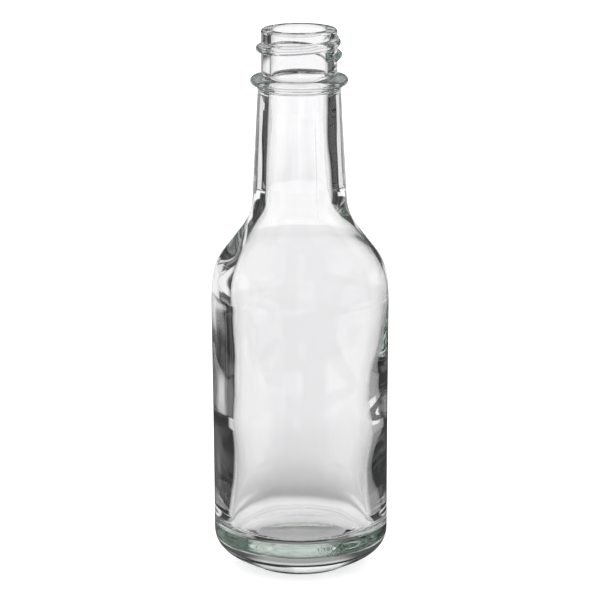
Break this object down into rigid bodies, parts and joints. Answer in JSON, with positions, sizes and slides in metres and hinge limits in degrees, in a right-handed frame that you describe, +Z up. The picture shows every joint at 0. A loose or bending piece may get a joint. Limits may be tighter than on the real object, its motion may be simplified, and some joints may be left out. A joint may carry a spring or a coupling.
{
  "type": "glass bottle",
  "caption": "Small clear glass bottle with a round straight body, sloping shoulder, tapered neck, neck ring and open screw-threaded mouth.",
  "frame": {"origin": "centre of the foot, on the plane the bottle stands on", "axes": "+Z up along the bottle's axis, -Y towards the front, +X to the right"},
  "size_m": [0.0368, 0.0368, 0.1135],
  "materials": {
    "clear_glass": "clear soda-lime glass with a faint green tint in its thick parts, glossy, moulded"
  },
  "bodies": {
    "root": {"bottle": "clear_glass"}
  },
  "joints": []
}
